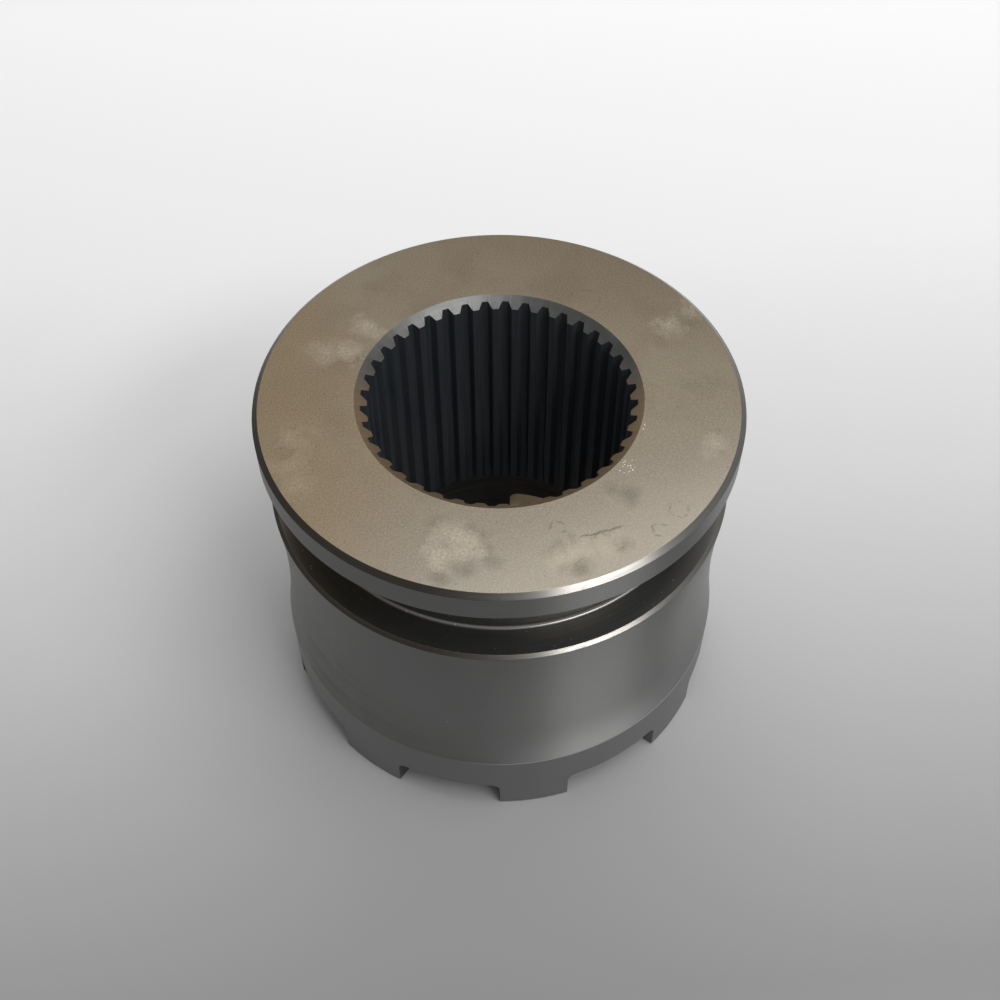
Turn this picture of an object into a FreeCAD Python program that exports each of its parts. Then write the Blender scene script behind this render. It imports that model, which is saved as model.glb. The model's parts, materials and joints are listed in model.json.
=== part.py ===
# Differential lock sliding sleeve, in millimetres.
# One steel forging is turned to a ring, broached with an internal involute spline and
# milled at its lower end into eight clutch jaws. A shift fork runs in the groove under
# the top flange, the spline slides on its shaft, and the jaws lock into a mating ring.
# The frame has +Z up and its origin at the centre of the plane of the jaw tips.
# The +X axis passes through the middle of a gap between two jaws.

import FreeCAD, Part
import os
import Sketcher

PARTS_FOLDER = "parts"
NODE = "sliding_sleeve"

# Driving dimensions: alias, value, what it measures. Lengths in mm, angles in degrees.
SIZES = (
    ("overall_height", 90.0, "top face to jaw tips"),
    ("flange_diameter", 110.0, "top flange"),
    ("flange_thickness", 7.4, "top flange, face to groove wall"),
    ("flange_chamfer_width", 1.24, "top edge of the flange, across"),
    ("flange_chamfer_depth", 1.0, "top edge of the flange, down"),
    ("groove_width", 16.85, "room for the pads of the shift fork"),
    ("groove_depth", 7.85, "outside of the collar to the floor of the fork groove"),
    ("groove_foot_radius", 1.0, "fillet between the floor of the fork groove and the collar"),
    ("collar_diameter", 107.9, "collar under the fork groove"),
    ("collar_chamfer_width", 0.87, "top edge of the collar, across"),
    ("collar_chamfer_depth", 0.66, "top edge of the collar, down"),
    ("waist_radius", 176.0, "hollow curve from the collar to the rim"),
    ("rim_diameter", 110.0, "jaw ring, outside"),
    ("rim_height", 20.1, "jaw tips to the sharp edge of the rim"),
    ("rim_edge_break", 0.4, "outer and inner edges of the jaw tips"),
    ("counterbore_diameter", 74.0, "jaw ring, inside"),
    ("counterbore_depth", 25.7, "jaw tips to the end of the splines"),
    ("spline_count", 40, "teeth of the internal spline"),
    ("spline_module", 1.5, "pitch diameter divided by the number of teeth"),
    ("pressure_angle", 30.0, "slope of the involute flanks at the pitch circle"),
    ("tooth_addendum", 0.5, "pitch circle to the tooth tips"),
    ("tooth_dedendum", 1.0, "pitch circle to the bottoms of the spaces"),
    ("space_width", 2.56, "gap between two teeth, along the pitch circle"),
    ("spline_turn", 1.8, "first space, from the +X axis"),
    ("lead_in_width", 2.95, "chamfer at the upper mouth of the spline, across"),
    ("lead_in_depth", 2.15, "chamfer at the upper mouth of the spline, down"),
    ("run_out_clearance", 1.0, "spline root circle to the edge of the lower chamfer"),
    ("run_out_depth", 2.0, "chamfer at the lower end of the spline, down"),
    ("jaw_count", 8, "clutch jaws"),
    ("jaw_width", 17.0, "one jaw, between its two parallel flanks"),
    ("jaw_depth", 8.9, "jaw tip to gap floor"),
    ("jaw_root_radius", 2.4, "fillet between the flank of a jaw and the gap floor"),
    ("jaw_tip_radius", 0.5, "round edge between the flank of a jaw and its tip"),
)

# Expressions that several sketches share. A bare number is millimetres in a length, and
# degrees in an angle or a sine.
FLANGE_RADIUS = "(Sizes.flange_diameter / 2)"
COLLAR_RADIUS = "(Sizes.collar_diameter / 2)"
GROOVE_RADIUS = "(Sizes.collar_diameter / 2 - Sizes.groove_depth)"
RIM_RADIUS = "(Sizes.rim_diameter / 2)"
COUNTERBORE_RADIUS = "(Sizes.counterbore_diameter / 2)"
PITCH_RADIUS = "(Sizes.spline_count * Sizes.spline_module / 2)"
TIP_RADIUS = "(" + PITCH_RADIUS + " - Sizes.tooth_addendum)"
ROOT_RADIUS = "(" + PITCH_RADIUS + " + Sizes.tooth_dedendum)"
TOP = "Sizes.overall_height"
GROOVE_ROOF = "(Sizes.overall_height - Sizes.flange_thickness)"
GROOVE_SEAT = "(" + GROOVE_ROOF + " - Sizes.groove_width)"
COLLAR_EDGE = "(" + GROOVE_SEAT + " - Sizes.collar_chamfer_depth)"
COUNTERBORE_ROOF = "(Sizes.counterbore_depth - Sizes.run_out_depth)"
JAW_TURN = "(180 / Sizes.jaw_count)"

CUTTER_OVERLAP = 1.0     # how far a cut starts outside the metal
SAME_SIZE = 1e-4         # lengths closer than this are the same
LEAST_CUT = 1.0          # mm3 that every cut has to remove

# Shares of a spline space's width for its first rough drawing. Constraints then size it.
ROUGH_MOUTH, ROUGH_ROOT, ROUGH_BULGE = 0.7, 0.25, 0.03

# How a sketch's constraints number the points of an edge, and the sketch's own origin.
START, END, CENTRE = range(1, 4)
SKETCH_ORIGIN = (-1, START)

doc = FreeCAD.newDocument(NODE)

sheet = doc.addObject("Spreadsheet::Sheet", "Sizes")
for row, (alias, value, note) in enumerate(SIZES, start=1):
    sheet.set("A%d" % row, alias)
    sheet.set("B%d" % row, str(value))
    sheet.set("C%d" % row, note)
    sheet.setAlias("B%d" % row, alias)
doc.recompute()

body = doc.addObject("PartDesign::Body", NODE)
body.Label = NODE
body.Placement = FreeCAD.Placement()


def origin_feature(role):
    """The body's own origin plane or axis with this role."""
    return next(item for item in body.Origin.OriginFeatures if item.Role == role)


def new_sketch(name, plane):
    """An empty sketch on one of the body's origin planes."""
    sketch = body.newObject("Sketcher::SketchObject", name)
    sketch.AttachmentSupport = [(origin_feature(plane), "")]
    sketch.MapMode = "FlatFace"
    return sketch


def bind(sketch, constraint, name, expression):
    """Adds a constraint to the sketch and binds its value to an expression."""
    sketch.addConstraint(constraint)
    sketch.renameConstraint(sketch.ConstraintCount - 1, name)
    sketch.setExpression("Constraints." + name, expression)


def pin_across(sketch, edge, end, name, across):
    """Places one end of an edge by its distance across from the sketch's origin."""
    rough = sketch.getPoint(edge, end).x
    bind(sketch, Sketcher.Constraint("DistanceX", *SKETCH_ORIGIN, edge, end, rough), name + "_across", across)


def pin(sketch, edge, end, name, across, up):
    """Places one end of an edge by its distances across and up from the sketch's origin."""
    rough = sketch.getPoint(edge, end).y
    pin_across(sketch, edge, end, name, across)
    bind(sketch, Sketcher.Constraint("DistanceY", *SKETCH_ORIGIN, edge, end, rough), name + "_up", up)


def size_arc(sketch, edge, name, expression):
    """Binds the radius of an arc."""
    rough = sketch.Geometry[edge].Radius
    bind(sketch, Sketcher.Constraint("Radius", edge, rough), name, expression)


def close_chain(sketch):
    """Joins the end of each edge to the start of the next, and the last to the first."""
    count = sketch.GeometryCount
    for edge in range(count):
        sketch.addConstraint(Sketcher.Constraint("Coincident", edge, END, (edge + 1) % count, START))


def outline(sketch, corners):
    """Closed outline of straight lines through corners that each give a name, across and up."""
    rough = [FreeCAD.Vector(index, index * index, 0) for index in range(1, len(corners) + 1)]
    for start, end in zip(rough, rough[1:] + rough[:1]):
        sketch.addGeometry(Part.LineSegment(start, end), False)
    close_chain(sketch)
    for edge, (name, across, up) in enumerate(corners):
        pin(sketch, edge, START, name, across, up)


def revolved(kind, name, sketch):
    """Turns a sketch on the XZ plane once round the Z axis."""
    feature = body.newObject(kind, name)
    feature.Profile = sketch
    feature.ReferenceAxis = (origin_feature("Z_Axis"), [""])
    feature.Angle = 360
    doc.recompute()
    return feature


def pocketed(name, sketch, depth=None):
    """Cuts a sketch on the XY plane upwards, by a depth from the sheet or all the way."""
    feature = body.newObject("PartDesign::Pocket", name)
    feature.Profile = sketch
    feature.Reversed = True
    if depth is None:
        feature.Type = "ThroughAll"
    else:
        feature.setExpression("Length", depth)
    doc.recompute()
    return feature


def repeated(name, cut, count):
    """Repeats a cut evenly round the Z axis."""
    pattern = body.newObject("PartDesign::PolarPattern", name)
    pattern.Originals = [cut]
    pattern.Axis = (origin_feature("Z_Axis"), [""])
    pattern.Angle = 360
    pattern.setExpression("Occurrences", count)
    body.Tip = pattern
    doc.recompute()
    return pattern


def rounded(name, base, belongs, radius):
    """Fillets those edges of the base feature that belong."""
    fillet = body.newObject("PartDesign::Fillet", name)
    edges = ["Edge%d" % number for number, edge in enumerate(base.Shape.Edges, start=1) if belongs(edge)]
    fillet.Base = (base, edges)
    fillet.setExpression("Radius", radius)
    doc.recompute()
    return fillet


def same(length, wanted):
    """True where two lengths are the same size."""
    return abs(length - wanted) < SAME_SIZE


def is_spoke(edge, height):
    """True for a straight edge that lies level at this height."""
    straight = isinstance(edge.Curve, Part.Line)
    return straight and all(same(vertex.Point.z, height) for vertex in edge.Vertexes)


def require_cut(before, after):
    """Stops if a cut took nothing away."""
    if after.Shape.Volume > before.Shape.Volume - LEAST_CUT:
        raise RuntimeError(after.Name + " removed no material")


def turn_ring():
    """The whole turned section but for the waist, from the jaw tips up and back down the bore."""
    section = new_sketch("turned_section", "XZ_Plane")
    outline(section, (
        ("tip_inner", COUNTERBORE_RADIUS + " + Sizes.rim_edge_break", "0"),
        ("tip_outer", RIM_RADIUS + " - Sizes.rim_edge_break", "0"),
        ("rim_foot", RIM_RADIUS, "Sizes.rim_edge_break"),
        ("rim_top", RIM_RADIUS, "Sizes.rim_height"),
        ("collar_edge", COLLAR_RADIUS, COLLAR_EDGE),
        ("collar_top", COLLAR_RADIUS + " - Sizes.collar_chamfer_width", GROOVE_SEAT),
        ("groove_foot", GROOVE_RADIUS, GROOVE_SEAT),
        ("groove_head", GROOVE_RADIUS, GROOVE_ROOF),
        ("flange_low", FLANGE_RADIUS, GROOVE_ROOF),
        ("flange_high", FLANGE_RADIUS, TOP + " - Sizes.flange_chamfer_depth"),
        ("face_outer", FLANGE_RADIUS + " - Sizes.flange_chamfer_width", TOP),
        ("face_inner", TIP_RADIUS + " + Sizes.lead_in_width", TOP),
        ("spline_top", TIP_RADIUS, TOP + " - Sizes.lead_in_depth"),
        ("spline_foot", TIP_RADIUS, "Sizes.counterbore_depth"),
        ("run_out", ROOT_RADIUS + " + Sizes.run_out_clearance", COUNTERBORE_ROOF),
        ("counterbore_roof", COUNTERBORE_RADIUS, COUNTERBORE_ROOF),
        ("counterbore_foot", COUNTERBORE_RADIUS, "Sizes.rim_edge_break"),
    ))
    return revolved("PartDesign::Revolution", "turned_ring", section)


def groove_seat():
    """Height of the collar's upper face, which the fork's pads slide on."""
    return sheet.overall_height - sheet.flange_thickness - sheet.groove_width


def round_groove_foot(base):
    """Fillet where the floor of the fork groove meets the collar. The upper corner stays sharp."""
    radius = sheet.collar_diameter / 2 - sheet.groove_depth

    def is_groove_foot(edge):
        ring = isinstance(edge.Curve, Part.Circle) and same(edge.Curve.Radius, radius)
        return ring and same(edge.Curve.Center.z, groove_seat())

    return rounded("groove_foot", base, is_groove_foot, "Sizes.groove_foot_radius")


def turn_waist(base):
    """One shallow hollow from the collar's chamfer down to the sharp edge of the rim."""
    section = new_sketch("waist_section", "XZ_Plane")
    collar_edge = FreeCAD.Vector(sheet.collar_diameter / 2, groove_seat() - sheet.collar_chamfer_depth, 0)
    rim_top = FreeCAD.Vector(sheet.rim_diameter / 2, sheet.rim_height, 0)
    hollow = FreeCAD.Vector(rim_top.x - sheet.groove_depth / 2, (collar_edge.y + rim_top.y) / 2, 0)
    chord = section.addGeometry(Part.LineSegment(rim_top, collar_edge), False)
    arc = section.addGeometry(Part.Arc(collar_edge, hollow, rim_top), False)
    close_chain(section)
    pin(section, chord, START, "rim_top", RIM_RADIUS, "Sizes.rim_height")
    pin(section, chord, END, "collar_edge", COLLAR_RADIUS, COLLAR_EDGE)
    size_arc(section, arc, "waist", "Sizes.waist_radius")
    waist = revolved("PartDesign::Groove", "waist", section)
    require_cut(base, waist)
    return waist


def draw_spline_space():
    """One space between two teeth, drawn about the +X axis and then turned to its place.

    Each involute flank is the circle that fits it at the pitch circle. The centre of
    that circle is where the flank's normal touches the base circle.
    """
    sketch = new_sketch("spline_space", "XY_Plane")
    pitch_radius = sheet.spline_count * sheet.spline_module / 2
    mouth_radius = pitch_radius - sheet.tooth_addendum - CUTTER_OVERLAP
    mouth = FreeCAD.Vector(mouth_radius, ROUGH_MOUTH * sheet.space_width, 0)
    root = FreeCAD.Vector(pitch_radius + sheet.tooth_dedendum, ROUGH_ROOT * sheet.space_width, 0)
    bulge = FreeCAD.Vector(0, ROUGH_BULGE * sheet.space_width, 0)
    flank = (mouth + root) / 2 + bulge
    bottom = FreeCAD.Vector(root.x + bulge.y, 0, 0)

    def mirrored(point):
        return FreeCAD.Vector(point.x, -point.y, 0)

    lower = sketch.addGeometry(Part.Arc(mirrored(mouth), mirrored(flank), mirrored(root)), False)
    floor = sketch.addGeometry(Part.Arc(mirrored(root), bottom, root), False)
    upper = sketch.addGeometry(Part.Arc(root, flank, mouth), False)
    opening = sketch.addGeometry(Part.LineSegment(mouth, mirrored(mouth)), False)
    close_chain(sketch)

    base_radius = PITCH_RADIUS + " * cos(Sizes.pressure_angle)"
    half_space = "(90 / pi * Sizes.space_width / " + PITCH_RADIUS + ")"
    centre_turn = "(Sizes.pressure_angle - " + half_space + ")"
    centre_across = base_radius + " * cos" + centre_turn
    centre_up = base_radius + " * sin" + centre_turn
    pin(sketch, lower, CENTRE, "lower_centre", centre_across, centre_up)
    pin(sketch, upper, CENTRE, "upper_centre", centre_across, "-" + centre_up)
    size_arc(sketch, lower, "lower_flank", PITCH_RADIUS + " * sin(Sizes.pressure_angle)")
    size_arc(sketch, upper, "upper_flank", PITCH_RADIUS + " * sin(Sizes.pressure_angle)")
    sketch.addConstraint(Sketcher.Constraint("Coincident", *SKETCH_ORIGIN, floor, CENTRE))
    size_arc(sketch, floor, "floor", ROOT_RADIUS)
    inside_the_tips = TIP_RADIUS + " - %g" % CUTTER_OVERLAP
    pin_across(sketch, opening, START, "upper_mouth", inside_the_tips)
    pin_across(sketch, opening, END, "lower_mouth", inside_the_tips)

    sketch.setExpression("AttachmentOffset.Rotation.Angle", "Sizes.spline_turn")
    return sketch


def broach_splines(base):
    """All the spaces of the spline, from the lead-in chamfer down into the counterbore."""
    first = pocketed("first_space", draw_spline_space())
    require_cut(base, first)
    splines = repeated("splines", first, "Sizes.spline_count")
    require_cut(first, splines)
    return splines


def draw_jaw_gap():
    """One gap between two jaws, about the +X axis. Each flank runs along the middle of its jaw."""
    sketch = new_sketch("jaw_gap", "XY_Plane")
    inside = "(" + COUNTERBORE_RADIUS + " * cos" + JAW_TURN + " - %g)" % CUTTER_OVERLAP
    outside = "(" + RIM_RADIUS + " + %g)" % CUTTER_OVERLAP

    def flank_at(across):
        return "(" + across + " * tan" + JAW_TURN + " - Sizes.jaw_width / 2 / cos" + JAW_TURN + ")"

    outline(sketch, (
        ("inner_low", inside, "-" + flank_at(inside)),
        ("outer_low", outside, "-" + flank_at(outside)),
        ("outer_high", outside, flank_at(outside)),
        ("inner_high", inside, flank_at(inside)),
    ))
    return sketch


def mill_jaws(base):
    """The gaps between the jaws, with round roots and tips at the flanks."""
    first = pocketed("first_gap", draw_jaw_gap(), "Sizes.jaw_depth")
    require_cut(base, first)
    jaws = repeated("jaws", first, "Sizes.jaw_count")
    require_cut(first, jaws)
    roots = rounded("jaw_roots", jaws, lambda edge: is_spoke(edge, sheet.jaw_depth), "Sizes.jaw_root_radius")
    tips = rounded("jaw_tips", roots, lambda edge: is_spoke(edge, 0), "Sizes.jaw_tip_radius")
    require_cut(roots, tips)
    return tips


def require_sound():
    """Stops if any object failed or the sleeve isn't one valid solid."""
    for item in doc.Objects:
        if "Invalid" in item.State or "Error" in item.State:
            raise RuntimeError(item.Name + " failed: " + item.getStatusString())
    if body.Shape.isNull() or not body.Shape.isValid() or len(body.Shape.Solids) != 1:
        raise RuntimeError("the sleeve is not one valid solid")


ring = turn_ring()
grooved = round_groove_foot(ring)
waisted = turn_waist(grooved)
splined = broach_splines(waisted)
mill_jaws(splined)
doc.recompute()
require_sound()

os.makedirs(PARTS_FOLDER, exist_ok=True)
body.Shape.exportStep(os.path.join(PARTS_FOLDER, NODE + ".step"))
print("%s: %.1f cm3, %d faces" % (NODE, body.Shape.Volume / 1000, len(body.Shape.Faces)))
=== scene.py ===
import json
import math

import bmesh
import bpy
from mathutils import Matrix, Vector


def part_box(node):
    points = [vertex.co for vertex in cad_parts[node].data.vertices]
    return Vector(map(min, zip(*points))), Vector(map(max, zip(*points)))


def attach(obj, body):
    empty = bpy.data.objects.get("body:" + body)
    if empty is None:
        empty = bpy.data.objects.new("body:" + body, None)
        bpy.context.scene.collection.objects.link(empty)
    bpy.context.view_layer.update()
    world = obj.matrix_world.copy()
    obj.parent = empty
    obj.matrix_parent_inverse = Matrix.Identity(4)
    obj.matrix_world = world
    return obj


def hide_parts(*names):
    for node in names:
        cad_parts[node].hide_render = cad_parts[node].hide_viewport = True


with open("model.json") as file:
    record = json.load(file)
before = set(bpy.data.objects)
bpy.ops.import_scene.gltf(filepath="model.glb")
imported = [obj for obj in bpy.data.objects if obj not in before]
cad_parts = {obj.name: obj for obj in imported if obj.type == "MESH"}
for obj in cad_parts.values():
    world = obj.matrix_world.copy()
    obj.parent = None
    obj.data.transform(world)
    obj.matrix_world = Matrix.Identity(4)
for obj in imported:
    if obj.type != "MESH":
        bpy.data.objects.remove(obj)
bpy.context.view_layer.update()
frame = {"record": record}        # one CAD node, sliding_sleeve, on the body root

# Differential lock sliding sleeve: one turned, broached and milled piece of alloy steel.
# Lengths are in millimetres and angles in radians, unless a comment says otherwise.
# The frame has +Z up, its origin under the middle of the jaws, and +X in a gap between jaws.
NODE = "sliding_sleeve"
BODY = "root"
MM = 0.001      # in Blender's metres

top_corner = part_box(NODE)[1]
mounts = {mount["name"]: mount for mount in frame["record"]["mounts"]}

# The outside, from the top down
TOP = top_corner.z / MM
FLANGE_RADIUS = top_corner.x / MM
FLANGE_THICKNESS = 7.4
FLANGE_CHAMFER = Vector((1.24, 1.0))        # across and down
COLLAR_RADIUS = 107.9 / 2
COLLAR_CHAMFER = Vector((0.87, 0.66))       # across and down
GROOVE_WIDTH = 16.85
GROOVE_DEPTH = 7.85
GROOVE_RADIUS = COLLAR_RADIUS - GROOVE_DEPTH
GROOVE_ROOF = TOP - FLANGE_THICKNESS
GROOVE_SEAT = GROOVE_ROOF - GROOVE_WIDTH
WAIST_RADIUS = 176.0                        # of its hollow curve from the collar to the rim
RIM_RADIUS = FLANGE_RADIUS
RIM_HEIGHT = 20.1

# The internal involute spline, the chamfers at its ends and the counterbore under it
TOOTH_COUNT = 40
TOOTH_MODULE = 1.5
PITCH_RADIUS = TOOTH_COUNT * TOOTH_MODULE / 2
TOOTH_TIP_RADIUS = PITCH_RADIUS - 0.5
TOOTH_ROOT_RADIUS = PITCH_RADIUS + 1.0
PRESSURE_ANGLE = math.radians(30)
SPACE_WIDTH = 2.56                          # along the pitch circle
FIRST_SPACE = math.radians(1.8)             # its middle, from +X
LEAD_IN_CHAMFER = Vector((2.95, 2.15))      # across and down, to the tooth tips
LEAD_IN_RADIUS = TOOTH_TIP_RADIUS + LEAD_IN_CHAMFER.x
RUN_OUT_RADIUS = TOOTH_ROOT_RADIUS + 1.0    # the chamfer at the lower end
RUN_OUT_TOP = 25.7                          # where it meets the tooth tips
COUNTERBORE_ROOF = RUN_OUT_TOP - 2.0
COUNTERBORE_RADIUS = mounts["counterbore"]["dims"]["r_mm"]

# The clutch jaws
JAW_COUNT = 8
JAW_WIDTH = 17.0                            # between two parallel flanks
JAW_DEPTH = 8.9                             # from the tips to the floors of the gaps
JAW_ROOT_RADIUS = 2.4                       # fillet between a flank and the floor of a gap
JAW_TIP_RADIUS = 0.5                        # round between a flank and the tip
JAW_EDGE_BREAK = 0.4                        # of the tips' outer and inner edges

# The camera looks this far round from +Y. Forward and right are level directions in its view.
# The materials use them as directions fixed on the sleeve, for tones that differ from side to
# side in the photograph. One photograph can't tell finish from light there, so part of its
# light may be painted in these colours.
CAMERA_TURN = math.radians(13.8)
FORWARD = Vector((-math.sin(CAMERA_TURN), math.cos(CAMERA_TURN), 0))
RIGHT = Vector((math.cos(CAMERA_TURN), math.sin(CAMERA_TURN), 0))
UP = Vector((0, 0, 1))

# Radii that the tools leave on the edges
FILED_EDGE = 0.12
TURNED_EDGE = 0.25
GROOVE_FOOT = 1.0
GROOVE_HEAD = 0.35
RIM_EDGE = 0.2
BROACHED_CORNER = 0.18
BURR = 0.1

# How many steps draw each curve
CORNER_STEPS = 4
FLANK_STEPS = 5
WAIST_STEPS = 28
GAP_FLOOR_STEPS = 6
JAW_ROOT_STEPS = 8
JAW_CORNER_STEPS = 4
JAW_TIP_STEPS = 5

# Edges that bend more than this stay sharp in the shading
SHARP_ANGLE = math.radians(35)

# Finishes, each the number of its material on the sleeve
GROUND, CHAMFERED, LEAD_IN, TURNED, RIM, OILED, BROACHED, INSIDE, MILLED = range(9)

# A Mix node has two inputs and an output for each kind of value. These are the ones for colours.
UNDER, OVER, MIXED = 6, 7, 2


def quarter(steps):
    """Angles from nothing to a right angle, in even steps."""
    return [math.pi / 2 * step / steps for step in range(steps + 1)]


def shares(steps):
    """Even shares from 0 to 1."""
    return [step / steps for step in range(steps + 1)]


def arc_about(centre, start, end, steps):
    """Points of the flat arc about a centre from start to end, the short way round."""
    turn = -(start - centre).angle_signed(end - centre)
    return [centre + Matrix.Rotation(turn * share, 2) @ (start - centre) for share in shares(steps)]


def round_corner(before, corner, after, radius):
    """Points of the arc of this radius that touches both edges at a corner."""
    back = (before - corner).normalized()
    ahead = (after - corner).normalized()
    half = back.angle(ahead) / 2
    centre = corner + (back + ahead).normalized() * (radius / math.sin(half))
    reach = radius / math.tan(half)
    return arc_about(centre, corner + back * reach, corner + ahead * reach, CORNER_STEPS)


def polyline(corners):
    """Points through corners that each give a place and the radius of its rounding."""
    places = [place for place, radius in corners]
    points = [places[0]]
    for before, (corner, radius), after in zip(places, corners[1:-1], places[2:]):
        points += round_corner(before, corner, after, radius) if radius else [corner]
    return points + [places[-1]]


def hollow_arc(start, end, radius):
    """Points of the flat arc from start to end whose centre lies to the right of its way."""
    middle = (start + end) / 2
    across = (end - start).orthogonal().normalized()
    centre = middle - across * math.sqrt(radius ** 2 - (start - middle).length_squared)
    return arc_about(centre, start, end, WAIST_STEPS)


class Skin:
    """The sleeve's surface, collected face by face. Corners at one place become one vertex."""

    def __init__(self):
        self.corners = {}
        self.faces = []
        self.finishes = []

    def add(self, points, finish):
        """A face through these points, unless two or fewer of them are apart."""
        keys = [tuple(round(value, 5) for value in point) for point in points]
        numbers = [self.corners.setdefault(key, len(self.corners)) for key in keys]
        numbers = list(dict.fromkeys(numbers))
        if len(numbers) > 2:
            self.faces.append(numbers)
            self.finishes.append(finish)

    def strip(self, first, second, finish):
        """A closed band between two rows with as many points as each other."""
        for here in range(len(first)):
            ahead = (here + 1) % len(first)
            self.add((first[here], first[ahead], second[ahead], second[here]), finish)

    def bridge(self, first, second, finish):
        """A flat ring between two rows with their own numbers of points, in angle order."""
        rows = (first, second)
        turns = [row_angles(row) for row in rows]
        at = [0, 0]
        while at[0] < len(first) or at[1] < len(second):
            side = 0 if turns[0][at[0] + 1] <= turns[1][at[1] + 1] else 1
            fixed = rows[1 - side][at[1 - side] % len(rows[1 - side])]
            here = rows[side][at[side] % len(rows[side])]
            at[side] += 1
            self.add((here, rows[side][at[side] % len(rows[side])], fixed), finish)

    def mesh(self, name):
        """The collected faces as a mesh with their finishes."""
        made = bpy.data.meshes.new(name)
        made.from_pydata([Vector(corner) * MM for corner in self.corners], [], self.faces)
        made.polygons.foreach_set("material_index", self.finishes)
        made.update()
        return made


def row_angles(row):
    """The angle of each point of a closed row, rising from the first, and then two that end it."""
    start = math.atan2(row[0].y, row[0].x)
    angles = [(math.atan2(point.y, point.x) - start) % math.tau for point in row]
    return [start + angle for angle in angles] + [start + math.tau, math.inf]


def ring(angles, radius, height):
    """A row of points round the Z axis."""
    return [Vector((radius * math.cos(angle), radius * math.sin(angle), height)) for angle in angles]


def involute(angle):
    """How far an involute has turned where its pressure angle is this."""
    return math.tan(angle) - angle


def half_space(radius):
    """Half the angle between the two involute flanks of a spline space at this radius."""
    base_radius = PITCH_RADIUS * math.cos(PRESSURE_ANGLE)
    pressure_here = math.acos(base_radius / radius)
    at_pitch = SPACE_WIDTH / 2 / PITCH_RADIUS
    return at_pitch + involute(PRESSURE_ANGLE) - involute(pressure_here)


def spline_section():
    """Angle and radius round the whole spline, with the broach's small corner radii."""
    depth = TOOTH_ROOT_RADIUS - TOOTH_TIP_RADIUS
    radii = [TOOTH_TIP_RADIUS + depth * share for share in shares(FLANK_STEPS)]
    pitch = math.tau / TOOTH_COUNT
    # From a tooth's middle to a space's, unrolled: along the pitch circle, and out from the axis
    tooth = Vector((-pitch / 2 * PITCH_RADIUS, TOOTH_TIP_RADIUS))
    floor = Vector((0, TOOTH_ROOT_RADIUS))
    flank = [Vector((-half_space(radius) * PITCH_RADIUS, radius)) for radius in radii]
    corners = [(tooth, 0), (flank[0], BROACHED_CORNER)]
    corners += [(point, 0) for point in flank[1:-1]]
    corners += [(flank[-1], BROACHED_CORNER), (floor, 0)]
    rising = [(point.x / PITCH_RADIUS, point.y) for point in polyline(corners)]
    falling = [(-angle, radius) for angle, radius in reversed(rising[1:-1])]
    section = []
    for number in range(TOOTH_COUNT):
        turn = FIRST_SPACE + number * pitch
        section += [(turn + angle, radius) for angle, radius in rising + falling]
    return section


def bore_row(section, offset, height_at):
    """A row round the bore, this far outside the spline, at a height that its radius gives."""
    points = []
    for angle, radius in section:
        reach = radius + offset
        points.append(Vector((reach * math.cos(angle), reach * math.sin(angle), height_at(reach))))
    return points


def lead_in_height(radius):
    """Height of the chamfer at the upper mouth of the spline."""
    return TOP - (LEAD_IN_RADIUS - radius) * LEAD_IN_CHAMFER.y / LEAD_IN_CHAMFER.x


def run_out_height(radius):
    """Height of the chamfer at the lower end of the spline."""
    slope = (RUN_OUT_TOP - COUNTERBORE_ROOF) / (RUN_OUT_RADIUS - TOOTH_TIP_RADIUS)
    return COUNTERBORE_ROOF + (RUN_OUT_RADIUS - radius) * slope


def skin_bore(skin):
    """The splined bore, from its lower run-out to the top face. Returns its two end rows."""
    section = spline_section()
    angles = [angle for angle, radius in section]
    roof = ring(angles, RUN_OUT_RADIUS, COUNTERBORE_ROOF)
    spline_foot = bore_row(section, 0, run_out_height)
    spline_head = [point - UP * BURR for point in bore_row(section, 0, lead_in_height)]
    burr = bore_row(section, BURR, lead_in_height)
    edge = round_corner(
        Vector((TOOTH_TIP_RADIUS, TOP - LEAD_IN_CHAMFER.y)),
        Vector((LEAD_IN_RADIUS, TOP)),
        Vector((FLANGE_RADIUS, TOP)),
        FILED_EDGE,
    )
    mouth = [ring(angles, place.x, place.y) for place in edge]
    skin.strip(roof, spline_foot, INSIDE)
    skin.strip(spline_foot, spline_head, BROACHED)
    # The broach leaves a burr where the teeth meet the chamfer. Its brighter chamfer finish is partly
    # the burr's bare metal, partly a painted glint
    skin.strip(spline_head, burr, CHAMFERED)
    skin.strip(burr, mouth[0], LEAD_IN)
    for lower, upper in zip(mouth, mouth[1:]):
        skin.strip(lower, upper, LEAD_IN)
    return roof, mouth[-1]


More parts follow.
